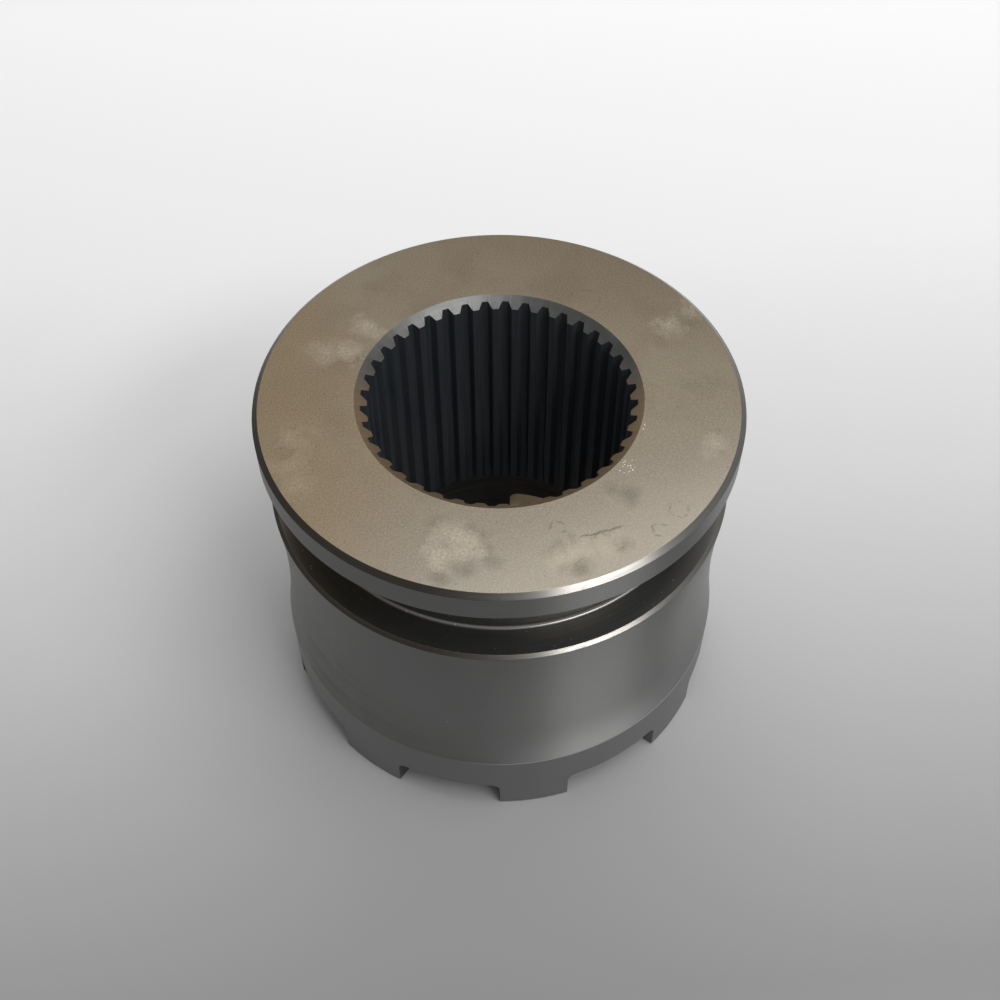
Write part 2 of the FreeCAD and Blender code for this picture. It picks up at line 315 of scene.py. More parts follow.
def jaw_edge(radius, into_metal):
    """The lower edge of a wall of the jaw ring, all the way round, from a gap's middle.

    Each point gives an angle, a radius and a height. A jaw's flanks are parallel to the line
    from the axis through its middle. The way into the metal is -1 from the outer wall and 1 from
    the inner wall, and the edge is broken that way at the tips.
    """
    pitch = math.tau / JAW_COUNT
    root, tip = JAW_ROOT_RADIUS, JAW_TIP_RADIUS

    def placed(from_flank, height):
        reach = radius + into_metal * max(0, JAW_EDGE_BREAK - height)
        return Vector((pitch / 2 - math.asin((JAW_WIDTH / 2 + from_flank) / reach), reach, height))

    floor_end = placed(root, JAW_DEPTH)
    tip_start = placed(-tip, 0)
    half = [Vector((floor_end.x * share, floor_end.y, JAW_DEPTH))
            for share in shares(GAP_FLOOR_STEPS)[:-1]]
    half += [placed(root * (1 - math.sin(turn)), JAW_DEPTH + root * (math.cos(turn) - 1))
             for turn in quarter(JAW_ROOT_STEPS)]
    half += [placed(tip * (math.cos(turn) - 1), tip * (1 - math.sin(turn)))
             for turn in quarter(JAW_CORNER_STEPS)]
    half += [Vector((tip_start.x + (pitch / 2 - tip_start.x) * share, tip_start.y, 0))
             for share in shares(JAW_TIP_STEPS)[1:]]
    other_half = [Vector((pitch - point.x, point.y, point.z)) for point in reversed(half[1:-1])]
    edge = []
    for jaw in range(JAW_COUNT):
        edge += [Vector((point.x + jaw * pitch, point.y, point.z)) for point in half + other_half]
    return edge


def wall_rows(edge, radius, heights):
    """Rows of one wall of the jaw ring: its lower edge, then one at each height, not below the edge."""
    rows = [[
        Vector((point.y * math.cos(point.x), point.y * math.sin(point.x), point.z))
        for point in edge
    ]]
    for height in heights:
        rows.append([
            Vector((radius * math.cos(point.x), radius * math.sin(point.x), max(point.z, height)))
            for point in edge
        ])
    return rows


def skin_jaws(skin):
    """The eight jaws and the walls above them. Returns the top rows of both walls."""
    # The tops of the edge breaks, the feet of the root fillets, and a little over the gaps' floors
    heights = (JAW_EDGE_BREAK, JAW_DEPTH - JAW_ROOT_RADIUS, JAW_DEPTH + JAW_TIP_RADIUS)
    inner_edge = jaw_edge(COUNTERBORE_RADIUS, 1)
    outside = wall_rows(jaw_edge(RIM_RADIUS, -1), RIM_RADIUS, heights)
    inside = wall_rows(inner_edge, COUNTERBORE_RADIUS, heights + (COUNTERBORE_ROOF,))
    skin.strip(outside[0], inside[0], MILLED)
    for rows, finish in ((outside, RIM), (inside, INSIDE)):
        for lower, upper in zip(rows, rows[1:]):
            skin.strip(lower, upper, finish)
    return outside[-1], inside[-1]


def skin_outside(skin, wall_top):
    """The turned outside, from the jaw ring's wall up to the top face. Returns its last row."""
    angles = [math.atan2(point.y, point.x) for point in wall_top]
    collar_edge = Vector((COLLAR_RADIUS, GROOVE_SEAT - COLLAR_CHAMFER.y))
    rim_edge = Vector((RIM_RADIUS, RIM_HEIGHT))
    waist = hollow_arc(rim_edge, collar_edge, WAIST_RADIUS)
    # Each corner's place, the radius of its rounding, and the finish from there on
    corners = [(Vector((RIM_RADIUS, wall_top[0].z)), 0, RIM), (rim_edge, RIM_EDGE, TURNED)]
    corners += [(point, 0, TURNED) for point in waist[1:-1]]
    corners += [
        (collar_edge, FILED_EDGE, CHAMFERED),
        (Vector((COLLAR_RADIUS - COLLAR_CHAMFER.x, GROOVE_SEAT)), FILED_EDGE, OILED),
        (Vector((GROOVE_RADIUS, GROOVE_SEAT)), GROOVE_FOOT, OILED),
        (Vector((GROOVE_RADIUS, GROOVE_ROOF)), GROOVE_HEAD, OILED),
        (Vector((FLANGE_RADIUS, GROOVE_ROOF)), TURNED_EDGE, TURNED),
        (Vector((FLANGE_RADIUS, TOP - FLANGE_CHAMFER.y)), FILED_EDGE, CHAMFERED),
        (Vector((FLANGE_RADIUS - FLANGE_CHAMFER.x, TOP)), FILED_EDGE, GROUND),
        (Vector((LEAD_IN_RADIUS, TOP)), 0, GROUND),
    ]
    places = [place for place, radius, finish in corners]
    last = ring(angles, places[0].x, places[0].y)
    finish_here = corners[0][2]
    for before, (corner, radius, finish), after in zip(places, corners[1:-1], places[2:]):
        points = round_corner(before, corner, after, radius) if radius else [corner]
        for number, point in enumerate(points):
            row = ring(angles, point.x, point.y)
            skin.strip(last, row, finish_here if number == 0 else finish)
            last = row
        finish_here = finish
    return last


def make_sleeve():
    """The sleeve as one fine mesh of the CAD solid's form, with its small edge radii."""
    skin = Skin()
    bore_foot, bore_mouth = skin_bore(skin)
    wall_top, counterbore_top = skin_jaws(skin)
    face_edge = skin_outside(skin, wall_top)
    skin.bridge(bore_foot, counterbore_top, INSIDE)
    skin.bridge(bore_mouth, face_edge, GROUND)
    mesh = skin.mesh("sleeve_steel")
    work = bmesh.new()
    work.from_mesh(mesh)
    # Where rounding parted one place into two, they become one again
    bmesh.ops.remove_doubles(work, verts=work.verts, dist=0.0001 * MM)
    bmesh.ops.recalc_face_normals(work, faces=work.faces)
    open_edges = [edge for edge in work.edges if not edge.is_manifold]
    print("sleeve mesh: %d faces, %d open edges" % (len(work.faces), len(open_edges)))
    work.to_mesh(mesh)
    work.free()
    mesh.polygons.foreach_set("use_smooth", [True] * len(mesh.polygons))
    mesh.set_sharp_from_angle(angle=SHARP_ANGLE)
    sleeve = bpy.data.objects.new("sleeve", mesh)
    bpy.context.scene.collection.objects.link(sleeve)
    sleeve.modifiers.new("flat_faces_stay_flat", "WEIGHTED_NORMAL").keep_sharp = True
    return sleeve


def linear(hex_colour):
    """Linear red, green, blue and alpha of an sRGB hex value."""
    levels = [int(hex_colour[start:start + 2], 16) / 255 for start in (1, 3, 5)]
    levels = [level / 12.92 if level <= 0.04045 else ((level + 0.055) / 1.055) ** 2.4
              for level in levels]
    return (*levels, 1)


def add_node(tree, kind, inputs, **settings):
    """Adds a node with its settings. Each input is a value or the socket that feeds it."""
    node = tree.nodes.new(kind)
    for name, value in settings.items():
        setattr(node, name, value)
    for name, value in inputs.items():
        if isinstance(value, bpy.types.NodeSocket):
            tree.links.new(value, node.inputs[name])
        else:
            node.inputs[name].default_value = value
    return node


def new_steel(name, roughness=0.5):
    """A bare metal material, its node tree and its shader."""
    material = bpy.data.materials.new(name)
    material.use_nodes = True
    tree = material.node_tree
    shader = tree.nodes["Principled BSDF"]
    shader.inputs["Metallic"].default_value = 1
    shader.inputs["Roughness"].default_value = roughness
    return material, tree, shader


def place_in_mm(tree):
    """The place on the sleeve, in millimetres from its origin."""
    place = add_node(tree, "ShaderNodeTexCoord", {})
    in_mm = add_node(tree, "ShaderNodeVectorMath", {
        0: place.outputs["Object"], "Scale": 1 / MM}, operation="SCALE")
    return in_mm.outputs["Vector"]


def clouds(tree, place, size, low, high, seed, strength=1, detail=2):
    """Mask of soft patches about this size in mm.

    It is 0 where the noise is below the low level, and full where it is above the high one.
    """
    noise = add_node(tree, "ShaderNodeTexNoise", {
        "Vector": place, "W": seed * size, "Scale": 1 / size, "Detail": detail}, noise_dimensions="4D")
    mask = add_node(tree, "ShaderNodeMapRange", {
        "Value": noise.outputs["Fac"], "From Min": low, "From Max": high, "To Max": strength})
    return mask.outputs["Result"]


def specks(tree, place, spacing, radius, share, seed, strength=1):
    """Mask of round specks of this radius in mm, one in this share of cells of this spacing.

    Real dust is finer than 0.1 mm. It is drawn coarser, so that it shows.
    """
    cells = add_node(tree, "ShaderNodeTexVoronoi", {
        "Vector": place, "W": seed * spacing, "Scale": 1 / spacing}, voronoi_dimensions="4D")
    near = add_node(tree, "ShaderNodeMapRange", {
        "Value": cells.outputs["Distance"],
        "From Min": radius / spacing / 2, "From Max": radius / spacing,
        "To Min": strength, "To Max": 0})
    channels = add_node(tree, "ShaderNodeSeparateColor", {"Color": cells.outputs["Color"]})
    chosen = add_node(tree, "ShaderNodeMath", {
        0: channels.outputs["Red"], 1: share}, operation="LESS_THAN")
    shown = add_node(tree, "ShaderNodeMath", {
        0: near.outputs["Result"], 1: chosen.outputs["Value"]}, operation="MULTIPLY")
    return shown.outputs["Value"]


def towards(tree, place, direction, start, end, strength=1):
    """Mask that rises along a direction, between two distances in mm from the origin."""
    along = add_node(tree, "ShaderNodeVectorMath", {0: place, 1: direction}, operation="DOT_PRODUCT")
    mask = add_node(tree, "ShaderNodeMapRange", {
        "Value": along.outputs["Value"], "From Min": start, "From Max": end, "To Max": strength},
        interpolation_type="SMOOTHSTEP")
    return mask.outputs["Result"]


def ragged(tree, place, size, amount, seed):
    """The place pushed about by this many mm, so that what is drawn in it gets an uneven edge."""
    noise = add_node(tree, "ShaderNodeTexNoise", {
        "Vector": place, "W": seed * size, "Scale": 1 / size, "Detail": 4}, noise_dimensions="4D")
    push = add_node(tree, "ShaderNodeVectorMath", {
        0: noise.outputs["Color"], 1: (0.5, 0.5, 0.5)}, operation="SUBTRACT")
    scaled = add_node(tree, "ShaderNodeVectorMath", {
        0: push.outputs["Vector"], "Scale": 2 * amount}, operation="SCALE")
    moved = add_node(tree, "ShaderNodeVectorMath", {
        0: place, 1: scaled.outputs["Vector"]}, operation="ADD")
    return moved.outputs["Vector"]


def depth_in_stains(tree, place, spots, unevenness, seed):
    """How many mm a place on the top face lies inside the nearest stain's uneven edge.

    Each spot is the x, y and radius of a round part of a stain. Parts that touch flow together.
    """
    wave_length = 6
    noise = add_node(tree, "ShaderNodeTexNoise", {
        "Vector": place, "W": seed, "Scale": 1 / wave_length, "Detail": 5, "Roughness": 0.62},
        noise_dimensions="4D")
    uneven = add_node(tree, "ShaderNodeMapRange", {
        "Value": noise.outputs["Fac"], "From Min": 0.2, "From Max": 0.8,
        "To Min": -unevenness, "To Max": unevenness}, clamp=False)
    deepest = -100      # far outside every stain
    for x, y, radius in spots:
        apart = add_node(tree, "ShaderNodeVectorMath", {0: place, 1: (x, y, TOP)}, operation="DISTANCE")
        inside = add_node(tree, "ShaderNodeMath", {
            0: radius, 1: apart.outputs["Value"]}, operation="SUBTRACT")
        deepest = add_node(tree, "ShaderNodeMath", {
            0: inside.outputs["Value"], 1: deepest, 2: 0.5}, operation="SMOOTH_MAX").outputs["Value"]
    depth = add_node(tree, "ShaderNodeMath", {
        0: deepest, 1: uneven.outputs["Result"]}, operation="ADD")
    return depth.outputs["Value"]


def turning_marks(tree, place, pitch, length, low, high, seed):
    """Mask of marks that run round the axis, this far apart and about this long in mm.

    The real ones are about 0.1 mm apart. They are drawn coarser, so that they show.
    """
    flat = add_node(tree, "ShaderNodeVectorMath", {0: place, 1: (1, 1, 0)}, operation="MULTIPLY")
    heading = add_node(tree, "ShaderNodeVectorMath", {
        0: flat.outputs["Vector"]}, operation="NORMALIZE")
    radius = add_node(tree, "ShaderNodeVectorMath", {0: flat.outputs["Vector"]}, operation="LENGTH")
    parts = add_node(tree, "ShaderNodeSeparateXYZ", {"Vector": place})
    # Height counts with the radius, so that the marks cross walls and chamfers as well as faces
    height_weight = -1.6
    across = add_node(tree, "ShaderNodeMath", {
        0: parts.outputs["Z"], 1: height_weight, 2: radius.outputs["Value"]},
        operation="MULTIPLY_ADD")
    depth = add_node(tree, "ShaderNodeCombineXYZ", {"Z": across.outputs["Value"]})
    # A mark has its full length at the flange, and less nearer the axis
    stretch = FLANGE_RADIUS * pitch / length
    rolled = add_node(tree, "ShaderNodeVectorMath", {
        0: heading.outputs["Vector"], 1: (stretch, stretch, 1), 2: depth.outputs["Vector"]},
        operation="MULTIPLY_ADD")
    return clouds(tree, rolled.outputs["Vector"], pitch, low, high, seed, detail=3)


def coloured(tree, hex_colour, layers):
    """A colour under layers that each give a mask and a colour."""
    colour = linear(hex_colour)
    for mask, layer in layers:
        mixed = add_node(tree, "ShaderNodeMix", {
            "Factor": mask, UNDER: colour, OVER: linear(layer)}, data_type="RGBA")
        colour = mixed.outputs[MIXED]
    return colour


def vary_roughness(tree, shader, mask, at_none, at_full):
    """Lets a mask lead the shader's roughness from one value to another."""
    roughness = add_node(tree, "ShaderNodeMapRange", {
        "Value": mask, "To Min": at_none, "To Max": at_full})
    tree.links.new(roughness.outputs["Result"], shader.inputs["Roughness"])


def spread_highlights(tree, shader, amount):
    """Spreads the highlights across tool marks that run round the axis."""
    tangent = add_node(tree, "ShaderNodeTangent", {}, direction_type="RADIAL", axis="Z")
    tree.links.new(tangent.outputs["Tangent"], shader.inputs["Tangent"])
    shader.inputs["Anisotropic"].default_value = amount
    shader.inputs["Anisotropic Rotation"].default_value = 0.25


# The sleeve is case-hardened alloy steel. Each finish is how its tool and its handling left it, with
# some painted light and shade on top.

# Round parts of the stains on the top face, each its x, y and radius
PALE_STAINS = (
    (-1.6, -40.6, 1.4), (1.2, -40.6, 2.0), (4.2, -41.7, 2.2), (6.8, -43.6, 1.8),
    (3.0, -44.4, 2.0), (-0.8, -46.5, 2.2), (22.7, -40.7, 1.6), (24.8, -39.2, 1.8),
    (27.5, -37.4, 2.2), (30.5, -36.2, 2.4), (33.2, -34.2, 1.4), (-40.1, -24.0, 2.6),
    (-39.0, -30.1, 3.6), (-36.4, -36.0, 2.6), (-35.5, 13.2, 3.2), (-36.6, 5.6, 3.6),
    (-41.7, 2.6, 2.8), (33.4, 30.8, 2.2), (36.8, 37.0, 2.2), (49.2, -3.4, 1.2),
)
DARK_STAINS = (
    (-4.4, -38.8, 1.0), (-2.4, -37.6, 0.9), (0.4, -37.3, 1.1), (3.2, -37.6, 1.0),
    (5.8, -39.0, 0.8), (8.4, -42.0, 0.9), (9.8, -44.6, 1.0), (2.2, -48.5, 1.3),
    (4.6, -48.3, 1.2), (0.6, -51.2, 1.6), (20.9, -39.6, 0.9), (22.3, -37.6, 1.0),
    (24.0, -35.9, 1.1), (26.9, -42.8, 1.6), (24.2, -43.6, 1.2), (34.9, -34.6, 1.3),
    (33.0, -21.3, 2.4), (29.6, -20.8, 1.2), (38.6, 31.7, 1.8),
)
DROP_RINGS = ((44.1, -22.9, 2.0), (41.1, -29.1, 1.7), (12.5, 33.8, 3.8), (20.6, -33.6, 1.6))
FLECKED_SPOTS = ((33.0, -2.0, 0.8), (31.4, -14.5, 2.0))


def drop_rings(tree, place):
    """Mask of the thin rings round dried drops on the top face."""
    half_line = 0.22
    on_ring = 0
    for x, y, radius in DROP_RINGS:
        apart = add_node(tree, "ShaderNodeVectorMath", {0: place, 1: (x, y, TOP)}, operation="DISTANCE")
        here = add_node(tree, "ShaderNodeMath", {
            0: apart.outputs["Value"], 1: radius, 2: half_line}, operation="COMPARE")
        on_ring = add_node(tree, "ShaderNodeMath", {
            0: here.outputs["Value"], 1: on_ring}, operation="MAXIMUM").outputs["Value"]
    return on_ring


def drop_trail(tree, place):
    """Mask of the thin line that a drop left as it ran. Each of its four sides fades out."""
    run = Vector((0.845, 0.534, 0))
    across = Vector((-run.y, run.x, 0))
    sides = (
        (run, 1.9, 3.4), (-run, -13.4, -10.9), (across, -43.7, -43.3), (-across, 42.9, 43.3),
    )
    trail = 0.75
    for direction, start, end in sides:
        side = towards(tree, place, direction, start, end)
        trail = add_node(tree, "ShaderNodeMath", {
            0: trail, 1: side}, operation="MULTIPLY").outputs["Value"]
    return trail


def ground_steel():
    """Ground flat on its face: an even fine grain, under patches and rings of dried oil and water."""
    material, tree, shader = new_steel("ground_alloy_steel")
    place = place_in_mm(tree)
    # The grinding grain is about 0.05 mm and is drawn coarser, so that it shows
    grain_size = 0.36
    grain = clouds(tree, place, grain_size, 0.28, 0.72, 11, detail=3)
    grain_tone = clouds(tree, place, grain_size, 0.30, 0.68, 11, 0.36, detail=3)
    pale_depth = depth_in_stains(tree, place, PALE_STAINS, 5.4, 3)
    paleness = add_node(tree, "ShaderNodeMapRange", {
        "Value": pale_depth, "From Min": -2.4, "From Max": 3.4, "To Max": 0.72})
    mottling = add_node(tree, "ShaderNodeMapRange", {
        "Value": clouds(tree, place, 0.6, 0.36, 0.64, 40, detail=4), "To Min": 0.25, "To Max": 1.15})
    pale = add_node(tree, "ShaderNodeMath", {
        0: paleness.outputs["Result"], 1: mottling.outputs["Result"]}, operation="MULTIPLY")
    # The patches dried from their edges, which left a dark line round parts of them
    off_edge = add_node(tree, "ShaderNodeMath", {
        0: pale_depth, 1: -1.2, 2: 0.6}, operation="COMPARE")
    outline = add_node(tree, "ShaderNodeMath", {
        0: off_edge.outputs["Value"], 1: clouds(tree, place, 5, 0.48, 0.64, 41, 0.35)},
        operation="MULTIPLY")
    dark = add_node(tree, "ShaderNodeMapRange", {
        "Value": depth_in_stains(tree, place, DARK_STAINS, 2.2, 9),
        "From Min": -1.4, "From Max": 1.6, "To Max": 0.6})
    # Drops left thin broken rings as they dried, and one that ran left a line
    broken = ragged(tree, place, 2.2, 0.9, 8)
    rings = add_node(tree, "ShaderNodeMath", {
        0: drop_rings(tree, broken), 1: clouds(tree, place, 2, 0.42, 0.56, 42, 0.5)},
        operation="MULTIPLY")
    # Bright flecks lie in two spots near the bore
    near_flecks = add_node(tree, "ShaderNodeMath", {
        0: depth_in_stains(tree, place, FLECKED_SPOTS, 1.6, 6), 1: 0}, operation="GREATER_THAN")
    flecks = add_node(tree, "ShaderNodeMath", {
        0: near_flecks.outputs["Value"], 1: clouds(tree, place, 0.5, 0.60, 0.68, 5, 0.8)},
        operation="MULTIPLY")
    # Single grains are painted brighter towards the front right: painted glints
    painted_glints = add_node(tree, "ShaderNodeMath", {
        0: towards(tree, place, RIGHT * 0.5 - FORWARD * 0.87, -20, 46, 0.14),
        1: clouds(tree, place, 0.38, 0.44, 0.70, 43)}, operation="MULTIPLY")
    # The face is painted paler towards the front, a painted sheen, darker and browner at the back,
    # painted shade, and browner on the left, a painted warm reflection
    dried_edge = "#454038"
    colour = coloured(tree, "#645949", (
        (clouds(tree, place, 24, 0.40, 0.64, 1, detail=4), "#696050"),
        (clouds(tree, place, 11, 0.48, 0.68, 2, 0.8, detail=5), "#584e40"),
        (towards(tree, place, RIGHT * 0.35 - FORWARD * 0.94, 8, 52), "#716b63"),
        (towards(tree, place, RIGHT * 0.45 - FORWARD * 0.89, 32, 54, 0.6), "#8f887b"),
        (towards(tree, place, FORWARD * 0.93 + RIGHT * 0.37, 22, 54, 0.65), "#574a3b"),
        (painted_glints.outputs["Value"], "#c9c2b4"),
        (dark.outputs["Result"], "#504a41"),
        (pale.outputs["Value"], "#9a9284"),
        (towards(tree, place, -RIGHT - FORWARD * 0.2, 20, 50, 0.6), "#6b5940"),
        (outline.outputs["Value"], dried_edge),
        (rings.outputs["Value"], dried_edge),
        (drop_trail(tree, broken), dried_edge),
        (grain_tone, "#8a8274"),
        (specks(tree, place, 1.8, 0.22, 0.8, 31, 0.6), "#413931"),
        (flecks.outputs["Value"], "#f2ecdf"),
    ))
    tree.links.new(colour, shader.inputs["Base Color"])
    vary_roughness(tree, shader, grain, 0.48, 0.36)
    bump = add_node(tree, "ShaderNodeBump", {
        "Height": grain, "Strength": 0.5, "Distance": 0.02 * MM})
    tree.links.new(bump.outputs["Normal"], shader.inputs["Normal"])
    return material


def chamfered_steel():
    """Chamfered with a fine feed: bright, with thin streaks that run round the edge."""
    material, tree, shader = new_steel("chamfered_alloy_steel")
    spread_highlights(tree, shader, 0.4)
    place = place_in_mm(tree)
    marks = turning_marks(tree, place, 0.4, 26, 0.36, 0.62, 4)
    # The left half is painted dark to match the photograph. Much of that is likely its light
    colour = coloured(tree, "#7b7873", (
        (marks, "#878581"),
        (towards(tree, place, -RIGHT, -20, 18, 0.88), "#3a352f"),
    ))
    tree.links.new(colour, shader.inputs["Base Color"])
    vary_roughness(tree, shader, marks, 0.31, 0.28)
    bump = add_node(tree, "ShaderNodeBump", {
        "Height": marks, "Strength": 0.08, "Distance": 0.03 * MM})
    tree.links.new(bump.outputs["Normal"], shader.inputs["Normal"])
    return material


def lead_in_steel():
    """Turned before the broach went through: grey steel, painted brown in patches over its near half as
    a warm reflection.
    """
    material, tree, shader = new_steel("lead_in_alloy_steel", 0.42)
    place = place_in_mm(tree)
    # The near half is painted brown in patches: a painted warm reflection
    painted_light_side = towards(tree, place, -FORWARD, -14, 8, 0.9)
    painted_light = add_node(tree, "ShaderNodeMath", {
        0: painted_light_side, 1: clouds(tree, place, 4, 0.1, 0.4, 7)}, operation="MULTIPLY")
    colour = coloured(tree, "#575755", (
        (turning_marks(tree, place, 0.4, 14, 0.40, 0.62, 6), "#5f605f"),
        (painted_light.outputs["Value"], "#957f64"),
    ))
    tree.links.new(colour, shader.inputs["Base Color"])
    return material


def turned_steel():
    """Finish turned: a smooth satin grey, with faint smears of oil and a little dust."""
    material, tree, shader = new_steel("turned_alloy_steel", 0.45)
    spread_highlights(tree, shader, 1)
    place = place_in_mm(tree)
    marks = turning_marks(tree, place, 0.5, 30, 0.30, 0.70, 9)
    uneven = ragged(tree, place, 8, 4, 12)
    smear_side = towards(tree, place, -RIGHT, 18, 46, 0.3)
    smears = add_node(tree, "ShaderNodeMath", {
        0: smear_side, 1: clouds(tree, uneven, 9, 0.48, 0.66, 13)}, operation="MULTIPLY")
    # The front above its foot is painted duller: painted shade
    painted_light_side = towards(tree, place, RIGHT * 0.43 - FORWARD * 0.90, 46, 54, 0.9)
    painted_light = add_node(tree, "ShaderNodeMath", {
        0: painted_light_side, 1: towards(tree, place, UP, 20, 34)}, operation="MULTIPLY")
    # The right side is painted brighter towards the top: a painted highlight
    painted_highlight = add_node(tree, "ShaderNodeMath", {
        0: towards(tree, place, RIGHT * 0.92 - FORWARD * 0.39, 43, 53, 0.5),
        1: towards(tree, place, UP, 10, 60)}, operation="MULTIPLY")
    # The steel's own grain is finer than 0.1 mm and is drawn coarser, so that it shows
    grain = clouds(tree, place, 0.4, 0.34, 0.66, 14, 0.35)
    # The left side, down to the foot, is painted darker: painted shade
    colour = coloured(tree, "#8b8b8b", (
        (clouds(tree, uneven, 18, 0.42, 0.70, 17, 0.5), "#82817f"),
        (towards(tree, place, -RIGHT * 0.8 - UP * 1.15, -36, 4, 0.95), "#65645d"),
        (smears.outputs["Value"], "#959591"),
        # Darker towards the top: painted shade
        (towards(tree, place, UP, 28, 84, 0.4), "#686866"),
        (marks, "#868685"),
        (painted_highlight.outputs["Value"], "#b4b4b3"),
        (painted_light.outputs["Value"], "#6a6a69"),
        (grain, "#7c7c7c"),
        (specks(tree, place, 2.6, 0.22, 0.4, 16, 0.6), "#e6e4de"),
    ))
    tree.links.new(colour, shader.inputs["Base Color"])
    return material


def rim_steel():
    """Ground round the rim and the jaws: an even satin grey, drawn out only a little by the wheel."""
    material, tree, shader = new_steel("rim_ground_alloy_steel")
    spread_highlights(tree, shader, 0.6)
    place = place_in_mm(tree)
    # The wheel's grain is about 0.05 mm and is drawn coarser, so that it shows
    grain = clouds(tree, place, 0.5, 0.30, 0.70, 32, detail=3)
    # The upper edge of the rim is painted bright on the right: a painted highlight
    edge = towards(tree, place, UP, RIM_HEIGHT - 0.6, RIM_HEIGHT - 0.3)
    painted_edge_highlight = add_node(tree, "ShaderNodeMath", {
        0: edge, 1: towards(tree, place, RIGHT - FORWARD * 0.4, 6, 34, 0.75)}, operation="MULTIPLY")
    colour = coloured(tree, "#858685", (
        (clouds(tree, ragged(tree, place, 8, 4, 33), 14, 0.42, 0.70, 34, 0.6), "#7e7e7b"),
        (grain, "#808180"),
        (painted_edge_highlight.outputs["Value"], "#c6c7c8"),
        (specks(tree, place, 2.6, 0.22, 0.4, 35, 0.6), "#e6e4de"),
    ))
    tree.links.new(colour, shader.inputs["Base Color"])
    vary_roughness(tree, shader, grain, 0.52, 0.46)
    return material


def oiled_steel():
    """The fork groove, near black under old oil that holds dust. Its foot is painted bright at the
    front right: a painted glint.
    """
    material, tree, shader = new_steel("oiled_alloy_steel")
    place = place_in_mm(tree)
    marks = turning_marks(tree, place, 0.5, 18, 0.36, 0.66, 18)
    foot_top = GROOVE_SEAT + GROOVE_FOOT
    above = towards(tree, place, UP, GROOVE_SEAT + 0.05, GROOVE_SEAT + 0.35)
    below = towards(tree, place, -UP, -foot_top - 0.2, -foot_top + 0.3)
    # The line at the foot is painted bright at the front right only, a painted glint, and the left is
    # painted browner, a painted warm reflection
    foot = add_node(tree, "ShaderNodeMath", {0: above, 1: below}, operation="MULTIPLY")
    painted_foot_glint = add_node(tree, "ShaderNodeMath", {
        0: foot.outputs["Value"], 1: towards(tree, place, RIGHT * 0.5 - FORWARD * 0.87, 16, 44)},
        operation="MULTIPLY").outputs["Value"]
    colour = coloured(tree, "#6b6a67", (
        (marks, "#72726f"),
        (towards(tree, place, -RIGHT, 14, 52, 0.7), "#6b6154"),
        (painted_foot_glint, "#8f8e8b"),
        (specks(tree, place, 1.1, 0.24, 0.6, 19, 0.7), "#c0bcb4"),
    ))
    tree.links.new(colour, shader.inputs["Base Color"])
    vary_roughness(tree, shader, painted_foot_glint, 0.40, 0.24)
    return material


def broached_steel():
    """Broached: straight marks along each tooth, blue-black from hardening."""
    material, tree, shader = new_steel("broached_alloy_steel")
    # The film that hardening leaves is an oxide, so little of the light meets bare metal
    shader.inputs["Metallic"].default_value = 0.3
    place = place_in_mm(tree)
    # The broach's marks are about 0.1 mm apart and are drawn coarser, so that they show
    along = add_node(tree, "ShaderNodeVectorMath", {
        0: place, 1: (1, 1, 0.03)}, operation="MULTIPLY")
    marks = clouds(tree, along.outputs["Vector"], 0.5, 0.35, 0.65, 22)
    colour = coloured(tree, "#393b3f", (
        (marks, "#2f3539"),
        (specks(tree, place, 2.2, 0.22, 0.2, 23, 0.7), "#a9a9a4"),
    ))
    tree.links.new(colour, shader.inputs["Base Color"])
    vary_roughness(tree, shader, marks, 0.54, 0.48)
    return material


def inside_steel():
    """Bored inside the jaws: coarse marks, dark with old oil."""
    material, tree, shader = new_steel("bored_alloy_steel")
    place = place_in_mm(tree)
    colour = coloured(tree, "#454442", (
        (turning_marks(tree, place, 0.6, 20, 0.40, 0.62, 24), "#545350"),
        (clouds(tree, place, 7, 0.45, 0.7, 25, 0.6), "#43403c"),
    ))
    tree.links.new(colour, shader.inputs["Base Color"])
    return material


def milled_steel():
    """Milled across the jaws: plain grey, with short marks and a little old oil."""
    material, tree, shader = new_steel("milled_alloy_steel")
    place = place_in_mm(tree)
    # The cutter's marks are about 0.2 mm apart and are drawn coarser, so that they show
    marks = clouds(tree, place, 0.6, 0.35, 0.65, 26)
    colour = coloured(tree, "#7a7b7a", (
        (marks, "#6b6c6a"),
        (clouds(tree, place, 6, 0.5, 0.75, 27, 0.5), "#665f55"),
    ))
    tree.links.new(colour, shader.inputs["Base Color"])
    vary_roughness(tree, shader, marks, 0.48, 0.38)
    return material


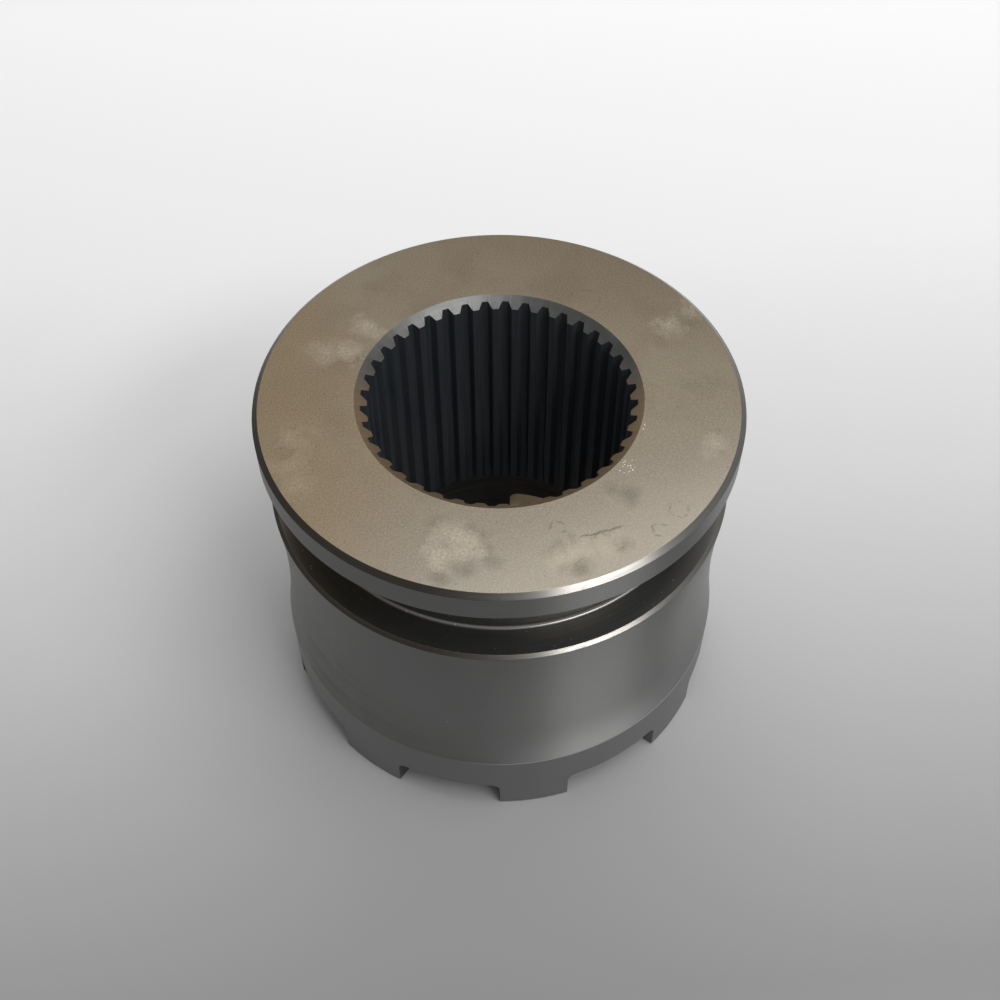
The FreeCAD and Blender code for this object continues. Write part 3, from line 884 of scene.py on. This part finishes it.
def matt_paper(radius):
    """Matt backdrop paper, lighter further from the camera. Its edge fades into the studio's grey."""
    material = bpy.data.materials.new("matt_paper")
    material.use_nodes = True
    tree = material.node_tree
    shader = tree.nodes["Principled BSDF"]
    shader.inputs["Roughness"].default_value = 0.9
    shader.inputs["Specular IOR Level"].default_value = 0
    place = place_in_mm(tree)
    # How far along the view the greys start and end, and each grey with its share of the way
    near, far = -104, 308
    stops = (
        (0.0, "#828282"), (0.154, "#9b9b9b"), (0.352, "#b8b8b8"), (0.62, "#d0d0d0"), (1.0, "#dddddd"),
    )
    along = add_node(tree, "ShaderNodeVectorMath", {
        0: place, 1: FORWARD - RIGHT * 0.07}, operation="DOT_PRODUCT")
    share = add_node(tree, "ShaderNodeMapRange", {
        "Value": along.outputs["Value"], "From Min": near, "From Max": far})
    greys = add_node(tree, "ShaderNodeValToRGB", {"Fac": share.outputs["Result"]})
    elements = greys.color_ramp.elements
    for number, (stop, grey) in enumerate(stops):
        element = elements[number] if number < len(elements) else elements.new(stop)
        element.position = stop
        element.color = linear(grey)
    fade_start, fade_end = 420, radius * 0.9
    from_axis = add_node(tree, "ShaderNodeVectorMath", {0: place}, operation="LENGTH")
    fade = add_node(tree, "ShaderNodeMapRange", {
        "Value": from_axis.outputs["Value"], "From Min": fade_start, "From Max": fade_end},
        interpolation_type="SMOOTHSTEP")
    paper = add_node(tree, "ShaderNodeMix", {
        "Factor": fade.outputs["Result"], UNDER: greys.outputs["Color"], OVER: linear("#a0a0a0")},
        data_type="RGBA")
    # Light that falls through the bore and out of this gap has met oily steel and warms the paper
    gap = (-1, COUNTERBORE_RADIUS + 3, 0)
    off_gap = add_node(tree, "ShaderNodeVectorMath", {0: place, 1: gap}, operation="DISTANCE")
    warmth = add_node(tree, "ShaderNodeMapRange", {
        "Value": off_gap.outputs["Value"], "From Min": 5, "From Max": 7.5, "To Min": 1, "To Max": 0})
    warm = add_node(tree, "ShaderNodeMix", {
        "Factor": warmth.outputs["Result"], UNDER: paper.outputs[MIXED], OVER: linear("#fbe2ba")},
        data_type="RGBA")
    tree.links.new(warm.outputs[MIXED], shader.inputs["Base Color"])
    return material


def make_stage():
    """A round paper floor under the sleeve."""
    radius = 1200
    steps = 128
    angles = [math.tau * step / steps for step in range(steps)]
    mesh = bpy.data.meshes.new("floor")
    mesh.from_pydata([point * MM for point in ring(angles, radius, 0)], [], [list(range(steps))])
    mesh.materials.append(matt_paper(radius))
    floor = bpy.data.objects.new("floor", mesh)
    bpy.context.scene.collection.objects.link(floor)


def make_camera():
    """The photograph's camera, as fitted to the round edges of the flange and the bore."""
    back, aside, height = 205.5, 0.12, 310.3
    look_down = math.radians(51.49)
    roll = math.radians(-0.24)
    camera = bpy.data.objects.new("camera", bpy.data.cameras.new("camera"))
    bpy.context.scene.collection.objects.link(camera)
    camera.data.sensor_width = 36
    camera.data.lens = 48.48
    camera.data.clip_start = 0.01
    place = (-FORWARD * back + RIGHT * aside + UP * height) * MM
    camera.matrix_world = (
        Matrix.Translation(place)
        @ Matrix.Rotation(CAMERA_TURN, 4, "Z")
        @ Matrix.Rotation(math.radians(90) - look_down, 4, "X")
        @ Matrix.Rotation(roll, 4, "Z")
    )
    bpy.context.scene.camera = camera


def add_softbox(name, direction, distance, width, height, radiance):
    """A white lamp that faces the sleeve, with its sizes in metres.

    At a radiance of 1 a mirror shows it plain white.
    """
    data = bpy.data.lights.new(name, "AREA")
    data.shape = "RECTANGLE"
    data.size = width
    data.size_y = height
    data.energy = radiance * math.pi * width * height
    lamp = bpy.data.objects.new(name, data)
    bpy.context.scene.collection.objects.link(lamp)
    lamp.location = direction.normalized() * distance + UP * (TOP / 2 * MM)
    lamp.rotation_euler = direction.to_track_quat("Z", "Y").to_euler()


def light_studio():
    """An even grey room with four softboxes."""
    world = bpy.data.worlds.new("studio")
    bpy.context.scene.world = world
    world.use_nodes = True
    background = world.node_tree.nodes["Background"]
    background.inputs["Color"].default_value = linear("#ffffff")
    background.inputs["Strength"].default_value = 0.44
    # Direction, distance, width, height and radiance
    add_softbox("overhead", FORWARD * 0.37 + RIGHT * 0.1 + UP, 1.5, 1.5, 1.5, 1.8)
    add_softbox("behind", FORWARD * 0.95 + UP * 0.33, 2.4, 1.5, 0.75, 1.2)
    add_softbox("key", RIGHT * 0.51 - FORWARD * 0.50 + UP * 0.71, 1.5, 0.75, 0.25, 12.5)
    add_softbox("high", RIGHT * 0.34 - FORWARD * 0.22 + UP * 0.91, 1.5, 1.0, 0.55, 4.8)


bpy.context.scene.view_settings.view_transform = "Standard"
make_camera()
light_studio()
make_stage()

sleeve = make_sleeve()
# In the order of the finishes' numbers
for make_material in (
    ground_steel,
    chamfered_steel,
    lead_in_steel,
    turned_steel,
    rim_steel,
    oiled_steel,
    broached_steel,
    inside_steel,
    milled_steel,
):
    sleeve.data.materials.append(make_material())
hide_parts(NODE)
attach(sleeve, BODY)
